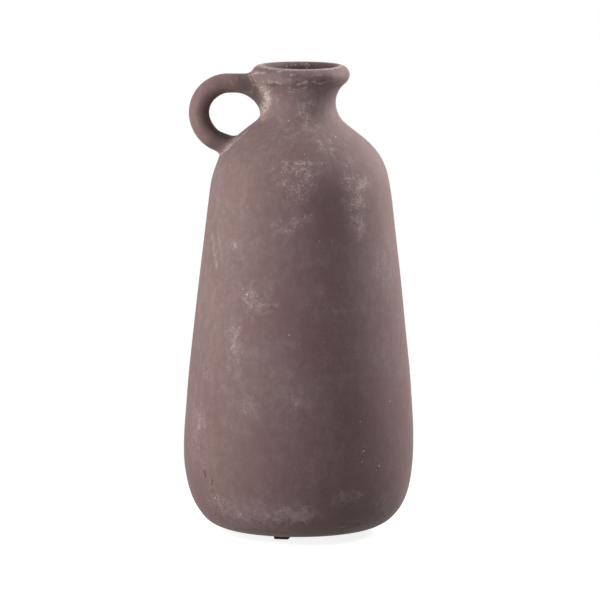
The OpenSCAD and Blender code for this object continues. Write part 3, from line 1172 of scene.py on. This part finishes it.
def vector(tree, operation, first, second, third=(0, 0, 0)):
    """A vector worked out from others."""
    node = lay(tree, "ShaderNodeVectorMath", {0: first, 1: second, 2: third}, operation=operation)
    return node.outputs[0]


def ramp(tree, value, low, high, to_low=0.0, to_high=1.0):
    """The value's span from low to high as a smooth step from to_low to to_high."""
    node = lay(tree, "ShaderNodeMapRange", {
        "Value": value, "From Min": low, "From Max": high, "To Min": to_low, "To Max": to_high},
        interpolation_type="SMOOTHSTEP")
    return node.outputs["Result"]


def calc(tree, operation, first, second, third=0.0):
    """A number worked out from others."""
    node = lay(tree, "ShaderNodeMath", {0: first, 1: second, 2: third}, operation=operation)
    return node.outputs[0]


def blend(tree, factor, first, second, kind="MIX"):
    """Two colours mixed by a factor."""
    node = lay(tree, "ShaderNodeMix", data_type="RGBA", blend_type=kind, clamp_factor=True)
    for index, value in ((0, factor), (6, first), (7, second)):
        if isinstance(value, bpy.types.NodeSocket):
            tree.links.new(value, node.inputs[index])
        else:
            node.inputs[index].default_value = value
    return node.outputs[2]


def rgb(value):
    """The colour with full cover, as a node takes it."""
    return (*value, 1.0)


def empty_material(name):
    """A new material and its node tree, cleared."""
    material = bpy.data.materials.new(name)
    material.use_nodes = True
    material.node_tree.nodes.clear()
    return material, material.node_tree


def round_marks(tree, place, wall, marks, edge):
    """A mask of small round marks at set places on the wall, whose rows are (radius, height)."""
    mask = None
    for turn, height, radius in marks:
        wall_r = float(np.interp(height, wall[:, 1], wall[:, 0]))
        a = math.radians(turn)
        centre = (wall_r * math.sin(a), -wall_r * math.cos(a), height)
        away = lay(tree, "ShaderNodeVectorMath", {0: place, 1: centre}, operation="DISTANCE")
        spot = ramp(tree, away.outputs["Value"], radius * (1 - edge), radius * (1 + edge), 1.0, 0.0)
        mask = spot if mask is None else calc(tree, "MAXIMUM", mask, spot)
    return mask


def scattered_marks(tree, place, scale, size, strength, draw, above):
    """A mask of small marks at random places, one in each cell whose drawn number lies above a limit."""
    cells = lay(tree, "ShaderNodeTexVoronoi", {"Vector": place, "Scale": scale, "Randomness": 1.0})
    drawn = lay(tree, "ShaderNodeSeparateColor", {0: cells.outputs["Color"]}).outputs[draw]
    mark = ramp(tree, cells.outputs["Distance"], *size, strength, 0.0)
    return calc(tree, "MULTIPLY", mark, calc(tree, "GREATER_THAN", drawn, above))


# Noises of the clay, each with the stretch along x, y and z, or none, then scale, detail, roughness and
# distortion.
CLAY_NOISES = {
    "clouds": (None, 15.0, 3.0, 0.55, 0.6),
    "mottle": (None, 85.0, 4.0, 0.6, 0.4),
    "wisps": ((165.0, 165.0, 125.0), 1.0, 4.0, 0.66, 0.5),
    "grain": (None, 620.0, 3.0, 0.7, 0.0),
    "fleck": (None, 820.0, 2.0, 0.62, 0.0),
    "sand": (None, 1900.0, 2.0, 0.6, 0.0),
    "streaks": ((150.0, 150.0, 9.0), 1.0, 3.0, 0.6, 0.0),
    "turned": ((7.0, 7.0, 330.0), 1.0, 3.0, 0.6, 0.0),
    "stray": (None, 9.0, 3.0, 0.6, 1.0),
}
SKIN_MARKS = ("wash", "chalk", "haze_and_painted_light", "bare", "fold", "rust", "hollow")
# How far the edges of small marks stray, and how fine that is.
RAGGED = 2.2 * MM
RAGGED_SCALE = 260.0
# The most that wash or thick chalk covers.
FULL_COVER = 0.85
# How much each noise or mark lifts the relief over the mottle, or sinks it.
RELIEF_SHARES = {"grain": 0.5, "sand": 0.22, "turned": 0.45, "hole": -3.5, "fold": -3.5, "cover": 0.6}


class ClayNodes:
    """The clay's node tree: its noises and marks by name, and its layers of colour, one by one."""

    def __init__(self, tree, look, outline):
        self.tree, self.look, self.outline = tree, look, outline
        place = lay(tree, "ShaderNodeTexCoord").outputs["Object"]
        wobble = lay(tree, "ShaderNodeTexNoise", {"Vector": place, "Scale": RAGGED_SCALE, "Detail": 2.0})
        shift = vector(tree, "SUBTRACT", wobble.outputs["Color"], (0.5, 0.5, 0.5))
        self.ragged = vector(tree, "MULTIPLY_ADD", shift, (RAGGED, RAGGED, RAGGED), place)
        self.field = {}
        for name, (stretch, *settings) in CLAY_NOISES.items():
            spot = vector(tree, "MULTIPLY", place, stretch) if stretch else place
            self.field[name] = noise(tree, spot, *settings)
        for name in SKIN_MARKS:
            self.field[name] = lay(tree, "ShaderNodeAttribute", attribute_name=name).outputs["Fac"]

    def step(self, name, low, high, to_low=0.0, to_high=1.0):
        """A field's span from low to high as a smooth step."""
        return ramp(self.tree, self.field[name], low, high, to_low, to_high)

    def times(self, first, second):
        """The product of two values."""
        return calc(self.tree, "MULTIPLY", first, second)

    def add(self, value, share, total):
        """The total with a share of the value added to it."""
        return calc(self.tree, "MULTIPLY_ADD", value, share, total)

    def bare_clay(self):
        """Dark clouds and rust tints in the clay itself."""
        tree, look, field = self.tree, self.look, self.field
        tone = blend(tree, self.step("clouds", 0.34, 0.66), rgb(look.dark), rgb(look.body))
        tone = blend(tree, self.step("mottle", 0.34, 0.62, 0.55, 0.0), tone, rgb(look.dark))
        rust = self.times(field["rust"], self.step("mottle", 0.3, 0.62, 0.4, 1.0))
        rust = calc(tree, "MAXIMUM", rust, self.step("stray", 0.6, 0.78, 0.0, 0.4))
        tone = blend(tree, self.times(rust, look.rust), tone, rgb(look.warm))
        return blend(tree, self.times(field["bare"], 0.6), tone, rgb(look.dark))

    def thin_wash(self):
        """How much the powder all over, the thin even wash with its painted light, and the rubbed patches
        of wash cover.
        """
        look, field = self.look, self.field
        powder = self.times(self.step("wisps", 0.42, 0.75), self.step("clouds", 0.3, 0.7, 0.4, 1.0))
        powder = self.add(self.step("streaks", 0.45, 0.8), 0.25, powder)
        powder = self.times(powder, self.step("bare", 0.0, 1.0, look.powder, 0.0))
        veil = self.times(field["wash"], self.step("wisps", 0.3, 0.68, 0.45, 1.0))
        veil = self.add(veil, look.veil, powder)
        # The haze whitens the clay both as thin wash and as painted light.
        haze_and_painted_light = self.times(field["haze_and_painted_light"], self.step("wisps", 0.3, 0.68, 0.7, 1.0))
        veil = self.add(haze_and_painted_light, look.veil, veil)
        rubbed = self.add(field["wash"], 0.17, self.add(field["wisps"], 0.5, field["fleck"]))
        rubbed = self.times(ramp(self.tree, rubbed, 0.87, 1.04), self.step("wash", 0.04, 0.5))
        return self.add(rubbed, look.flecks, veil)

    def thick_wash(self):
        """How much the thick chalk, with the painted highlight along the lip's crest, covers, and the
        flecks on the wall inside the mouth.
        """
        tree, field = self.tree, self.field
        broken = self.add(field["wisps"], 0.6, field["fleck"])
        thick = self.times(field["chalk"], ramp(tree, broken, 0.7, 0.95, 0.08, 1.25))
        flecks = round_marks(tree, self.ragged, self.outline.inside, MOUTH_DOTS, 0.45)
        return calc(tree, "MINIMUM", calc(tree, "MAXIMUM", thick, flecks), FULL_COVER)

    def washed(self, tone):
        """The colour with the wash and its painted light over it; how much that covers becomes a field too.
        """
        tree, look = self.tree, self.look
        thin, thick = self.thin_wash(), self.thick_wash()
        tone = blend(tree, calc(tree, "MINIMUM", thin, FULL_COVER), tone, rgb(look.wash))
        self.field["cover"] = calc(tree, "MAXIMUM", thin, thick)
        return blend(tree, thick, tone, rgb(look.chalk))

    def marked(self, tone):
        """The colour with painted shade in its folds, white specks and pits; the pits become a field too.
        """
        tree, look, ragged, outside = self.tree, self.look, self.ragged, self.outline.outside
        # Painted shade along the folds, in the pit colour.
        tone = blend(tree, self.times(self.field["fold"], 0.45), tone, rgb(look.pit_and_fold_shade))
        specks = scattered_marks(tree, ragged, 210.0, (0.05, 0.14), 0.45, 0, 0.965)
        specks = calc(tree, "MAXIMUM", specks, round_marks(tree, ragged, outside, DOTS, 0.35))
        tone = blend(tree, specks, tone, rgb(look.speck))
        holes = scattered_marks(tree, ragged, 150.0, (0.06, 0.14), 0.6, 1, 0.982)
        holes = calc(tree, "MAXIMUM", holes, round_marks(tree, ragged, outside, PITS, 0.3))
        self.field["hole"] = holes
        return blend(tree, self.times(holes, 0.8), tone, rgb(look.pit_and_fold_shade))

    def shaded(self, tone):
        """The colour with the grain's light and dark, and painted shade inside the mouth and on the handle
        beside its joints.
        """
        shade = self.step("grain", 0.25, 0.75, 0.92, 1.07)
        shade = self.times(shade, self.step("wisps", 0.3, 0.7, 0.96, 1.04))
        # The hollow attribute darkens the colour here as painted shade.
        shade = self.times(shade, self.step("hollow", 0.0, 1.0, 1.0, self.look.hollow))
        shade = lay(self.tree, "ShaderNodeCombineColor", {0: shade, 1: shade, 2: shade}).outputs[0]
        return blend(self.tree, 1.0, tone, shade, "MULTIPLY")

    def relief(self):
        """The bumped normal."""
        height = self.field["mottle"]
        for name, weight in RELIEF_SHARES.items():
            height = self.add(self.field[name], weight, height)
        bump = {"Strength": 0.8, "Distance": self.look.relief, "Height": height}
        return lay(self.tree, "ShaderNodeBump", bump).outputs[0]


def clay_material(look, outline):
    """Dry, sandy fired clay with a rubbed chalky wash, rust tints, specks and pits."""
    material, tree = empty_material("washed_clay")
    clay = ClayNodes(tree, look, outline)
    tone = clay.shaded(clay.marked(clay.washed(clay.bare_clay())))
    rough = clay.step("cover", 0.0, 0.6, look.roughness - 0.04, min(look.roughness + 0.1, 1.0))
    shader = lay(tree, "ShaderNodeBsdfPrincipled", {
        "Base Color": tone, "Roughness": rough, "Diffuse Roughness": 0.15, "Specular IOR Level": 0.6,
        "Sheen Weight": look.bloom, "Sheen Roughness": 0.45, "Normal": clay.relief()})
    lay(tree, "ShaderNodeOutputMaterial", {"Surface": shader.outputs[0]})
    return material


def rubber_material(look):
    """Matt black rubber with a fine grain and a little dust."""
    material, tree = empty_material("pad_rubber")
    place = lay(tree, "ShaderNodeTexCoord").outputs["Object"]
    grain = noise(tree, place, 1800.0, 3.0, 0.6)
    cloud = noise(tree, place, 240.0, 4.0, 0.65, 0.4)
    dusty = calc(tree, "MULTIPLY", ramp(tree, cloud, 0.5, 0.75), ramp(tree, grain, 0.4, 0.7))
    tone = blend(tree, dusty, rgb(look.rubber), rgb(look.dust))
    bump = lay(tree, "ShaderNodeBump", {"Strength": 0.5, "Distance": 0.15 * MM, "Height": grain})
    rough = ramp(tree, cloud, 0.3, 0.7, 0.62, 0.8)
    shader = lay(tree, "ShaderNodeBsdfPrincipled", {
        "Base Color": tone, "Roughness": rough, "Specular IOR Level": 0.35, "Normal": bump.outputs[0]})
    lay(tree, "ShaderNodeOutputMaterial", {"Surface": shader.outputs[0]})
    return material


# Foot pads

PAD_AROUND = 96
PAD_SQUARE = 9.0
# The top edge's radius as a share of the lower one's, and where rows lie: out from the middle on the
# sole, up the sides, and in to the middle on the top.
TOP_EDGE = 0.6
SOLE_ROWS = (0.15, 0.4, 0.65, 0.82)
SIDE_ROWS = (0.2, 0.4, 0.6, 0.8)
TOP_ROWS = (0.8, 0.4)


def pad_mesh(name, centre, sizes):
    """A small square pad, pressed a little flat, with rounded edges."""
    half, edge, top = sizes.width / 2, sizes.edge, sizes.thickness
    top_edge = TOP_EDGE * edge
    turn = np.linspace(0, FULL_TURN, PAD_AROUND, endpoint=False)
    square_r = np.abs(np.cos(turn)) ** PAD_SQUARE + np.abs(np.sin(turn)) ** PAD_SQUARE
    square_r = square_r ** (-1 / PAD_SQUARE)
    rows = [(half * part, 0.0) for part in SOLE_ROWS]
    rows += [(half - edge + edge * math.sin(a), edge - edge * math.cos(a))
             for a in np.linspace(0, math.pi / 2, 6)]
    rows += [(half + sizes.bulge * math.sin(HALF_TURN * part), edge + (top - edge - top_edge) * part)
             for part in SIDE_ROWS]
    rows += [(half - top_edge * (1 - math.cos(a)), top - top_edge * (1 - math.sin(a)))
             for a in np.linspace(0, math.pi / 2, 5)]
    rows += [(half * part, top) for part in TOP_ROWS]
    c, s = math.cos(sizes.twist), math.sin(sizes.twist)
    rings = []
    for reach, height in rows:
        wavy = 1 + 0.004 * np.sin(3 * turn + height * 900) + 0.003 * np.sin(7 * turn)
        x = reach * square_r * np.cos(turn) * wavy
        y = reach * square_r * np.sin(turn) * wavy
        rings.append(np.column_stack([
            centre.x + x * c - y * s, centre.y + x * s + y * c, np.full_like(turn, height)]))
    ends = [(centre.x, centre.y, 0.0), (centre.x, centre.y, top)]
    return solid_mesh(name, *closed_tube(np.array(rings), ends))


# Studio

# Lamps: turn from the camera's side and elevation in degrees, distance, width and height in metres,
# and power in watts.
LAMPS = {
    "lamp_left": (-60, 0, 1.1, 0.45, 0.6, 1.8),
    "lamp_left_side": (-75, 10, 1.0, 0.45, 0.45, 2.45),
    "lamp_left_near": (-60, 20.5, 0.8, 0.3, 0.4, 2.65),
    "lamp_left_low": (-45, -14, 0.9, 0.3, 0.3, 2.5),
    "lamp_right_high": (110, 50, 1.1, 0.45, 0.6, 5.75),
    "lamp_right_near": (110, 20.5, 0.8, 0.3, 0.4, 4.55),
    "lamp_right_side": (80, 35, 1.0, 0.45, 0.45, 2.85),
    "lamp_right_low": (110, -14, 0.9, 0.3, 0.3, 0.7),
}
# Height above the floor that the lamps face.
LAMP_AIM = 0.32
LAMP_TINT = (1.0, 0.985, 0.935)
FLOOR_RADIUS = 30.0
# The floor's shadow fades out between these distances from the axis.
FADE_FROM, FADE_TO = 0.12, 0.45
# How bright the lamps alone make a white floor beside the vase, where white on the picture is 1.
FLOOR_LIGHT = 0.3


def seen_directly(tree):
    """1 for what the camera, a reflection or a clear glass sees, and 0 for scattered light."""
    path = lay(tree, "ShaderNodeLightPath").outputs
    seen = calc(tree, "MAXIMUM", path["Is Camera Ray"], path["Is Glossy Ray"])
    return calc(tree, "MAXIMUM", seen, path["Is Transmission Ray"])


def floor_material(studio):
    """A plain white floor that keeps the shadow near the vase and fades to clear white around it."""
    material, tree = empty_material("white_floor")
    place = lay(tree, "ShaderNodeTexCoord").outputs["Object"]
    far = lay(tree, "ShaderNodeVectorMath", {0: place}, operation="LENGTH").outputs["Value"]
    shown = studio.shadow / FLOOR_LIGHT
    lit = lay(tree, "ShaderNodeBsdfDiffuse", {"Color": (shown, shown, shown, 1)}).outputs[0]
    glow = lay(tree, "ShaderNodeEmission", {"Strength": 1 - studio.shadow}).outputs[0]
    near = lay(tree, "ShaderNodeAddShader", {0: lit, 1: glow}).outputs[0]
    clear = lay(tree, "ShaderNodeEmission", {"Strength": 1.0}).outputs[0]
    fade = ramp(tree, far, FADE_FROM, FADE_TO)
    seen = lay(tree, "ShaderNodeMixShader", {0: fade, 1: near, 2: clear}).outputs[0]
    tone = studio.floor_tone
    thrown = lay(tree, "ShaderNodeBsdfDiffuse", {"Color": (tone, tone, tone, 1)}).outputs[0]
    mixed = lay(tree, "ShaderNodeMixShader", {0: seen_directly(tree), 1: thrown, 2: seen})
    lay(tree, "ShaderNodeOutputMaterial", {"Surface": mixed.outputs[0]})
    return material


def add_floor(studio):
    """A wide round floor, which belongs to the stage."""
    work = bmesh.new()
    bmesh.ops.create_circle(work, cap_ends=True, segments=64, radius=FLOOR_RADIUS)
    mesh = bpy.data.meshes.new("floor")
    work.to_mesh(mesh)
    work.free()
    mesh.materials.append(floor_material(studio))
    stage = bpy.data.objects.new("floor", mesh)
    bpy.context.scene.collection.objects.link(stage)


def white_world(studio):
    """White surroundings where they are seen, which throw only the even fill light."""
    world = bpy.data.worlds.new("white_room")
    world.use_nodes = True
    tree = world.node_tree
    tree.nodes.clear()
    seen = lay(tree, "ShaderNodeBackground", {"Strength": 1.0}).outputs[0]
    fill = lay(tree, "ShaderNodeBackground", {"Strength": studio.fill}).outputs[0]
    for node in tree.nodes:
        node.inputs["Color"].default_value = (1, 1, 1, 1)
    mixed = lay(tree, "ShaderNodeMixShader", {0: seen_directly(tree), 1: fill, 2: seen})
    lay(tree, "ShaderNodeOutputWorld", {"Surface": mixed.outputs[0]})
    return world


def add_lamp(name, turn, elevation, distance, width, height, power):
    """A soft box that faces the vase."""
    data = bpy.data.lights.new(name, "AREA")
    data.shape = "RECTANGLE"
    data.size, data.size_y = width, height
    data.energy = power
    data.color = LAMP_TINT
    lamp = bpy.data.objects.new(name, data)
    bpy.context.scene.collection.objects.link(lamp)
    a, e = math.radians(turn), math.radians(elevation)
    way = Vector((math.sin(a) * math.cos(e), -math.cos(a) * math.cos(e), math.sin(e)))
    lamp.location = Vector((0, 0, LAMP_AIM)) + distance * way
    lamp.rotation_euler = way.to_track_quat("Z", "Y").to_euler()


def add_camera(studio):
    """The camera, in front of the vase and a little above it."""
    data = bpy.data.cameras.new("camera")
    data.sensor_fit = "HORIZONTAL"
    data.lens = studio.lens
    data.clip_end = 100.0
    camera = bpy.data.objects.new("camera", data)
    bpy.context.scene.collection.objects.link(camera)
    aim = Vector((studio.aim_side, 0, studio.aim_height))
    back = Vector((0, -math.cos(studio.elevation), math.sin(studio.elevation)))
    turned = Matrix.Rotation(math.pi / 2 - studio.elevation, 4, "X") @ Matrix.Rotation(studio.roll, 4, "Z")
    camera.matrix_world = Matrix.Translation(aim + studio.distance * back) @ turned
    bpy.context.scene.camera = camera


# Operators

def add_piece(name, mesh, material, slot, *nodes):
    """Links a finished piece, and ties it to the frame."""
    mesh.materials.clear()
    mesh.materials.append(material)
    mesh.polygons.foreach_set("use_smooth", [True] * len(mesh.polygons))
    piece = bpy.data.objects.new(name, mesh)
    bpy.context.scene.collection.objects.link(piece)
    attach(piece, BODY)
    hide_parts(*nodes)
    return piece


class JUG_OT_vessel(bpy.types.Operator):
    """Build the vessel with its lip and handle, fired as one piece"""

    bl_idname = "jug.vessel"
    bl_label = "Build the vessel"

    def execute(self, context):
        scene = context.scene
        outline = Outline(scene.jug_vessel, scene.jug_neck, scene.jug_pads.thickness)
        body = solid_mesh("clay_body", *closed_tube(*shell_rings(outline)))
        rings = Handle(outline, scene.jug_handle).rings()
        ends = [rings[0].mean(axis=0), rings[-1].mean(axis=0)]
        handle = solid_mesh("clay_handle", *closed_tube(rings, ends))
        mesh, near_seam = fused(body, handle, "jug_body")
        soften_seam(mesh, near_seam, scene.jug_handle.seam_softness)
        mark_skin(mesh, outline, near_seam)
        add_piece("jug_body", mesh, clay_material(scene.jug_clay, outline), "clay", "jug")
        return {"FINISHED"}


class JUG_OT_pads(bpy.types.Operator):
    """Build the foot pads where the frame has them"""

    bl_idname = "jug.pads"
    bl_label = "Build the foot pads"

    def execute(self, context):
        sizes = context.scene.jug_pads
        material = rubber_material(context.scene.jug_rubber)
        for node in PAD_NODES:
            low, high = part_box(node)
            name = node.replace("foot_pad", "rubber_pad")
            mesh = pad_mesh(name, (low + high) / 2, sizes)
            add_piece(name, mesh, material, "pad", node)
        return {"FINISHED"}


class JUG_OT_studio(bpy.types.Operator):
    """Set up the floor, the lamps, the white surroundings and the camera"""

    bl_idname = "jug.studio"
    bl_label = "Set up the studio"

    def execute(self, context):
        scene = context.scene
        studio = scene.jug_studio
        add_floor(studio)
        scene.world = white_world(studio)
        for name, lamp in LAMPS.items():
            add_lamp(name, *lamp)
        add_camera(studio)
        scene.view_settings.view_transform = "Standard"
        return {"FINISHED"}


class JUG_PT_panel(bpy.types.Panel):
    """Sizes, colours and buttons of the jug vase"""

    bl_idname = "JUG_PT_panel"
    bl_label = "Jug vase"
    bl_space_type = "VIEW_3D"
    bl_region_type = "UI"
    bl_category = "Jug vase"

    def draw(self, context):
        layout = self.layout
        for operator in OPERATORS:
            layout.operator(operator.bl_idname)
        for name in SETTINGS:
            box = layout.box()
            group = getattr(context.scene, name)
            box.label(text=group.bl_rna.name)
            for key in group.__annotations__:
                box.prop(group, key)


OPERATORS = (JUG_OT_vessel, JUG_OT_pads, JUG_OT_studio)


def register():
    for group in SETTINGS.values():
        bpy.utils.register_class(group)
    for name, group in SETTINGS.items():
        setattr(bpy.types.Scene, name, PointerProperty(type=group))
    for operator in OPERATORS:
        bpy.utils.register_class(operator)
    bpy.utils.register_class(JUG_PT_panel)


def unregister():
    bpy.utils.unregister_class(JUG_PT_panel)
    for operator in reversed(OPERATORS):
        bpy.utils.unregister_class(operator)
    for name in SETTINGS:
        delattr(bpy.types.Scene, name)
    for group in reversed(list(SETTINGS.values())):
        bpy.utils.unregister_class(group)


def main():
    register()
    bpy.ops.jug.vessel()
    bpy.ops.jug.pads()
    bpy.ops.jug.studio()


if __name__ == "__main__":
    main()
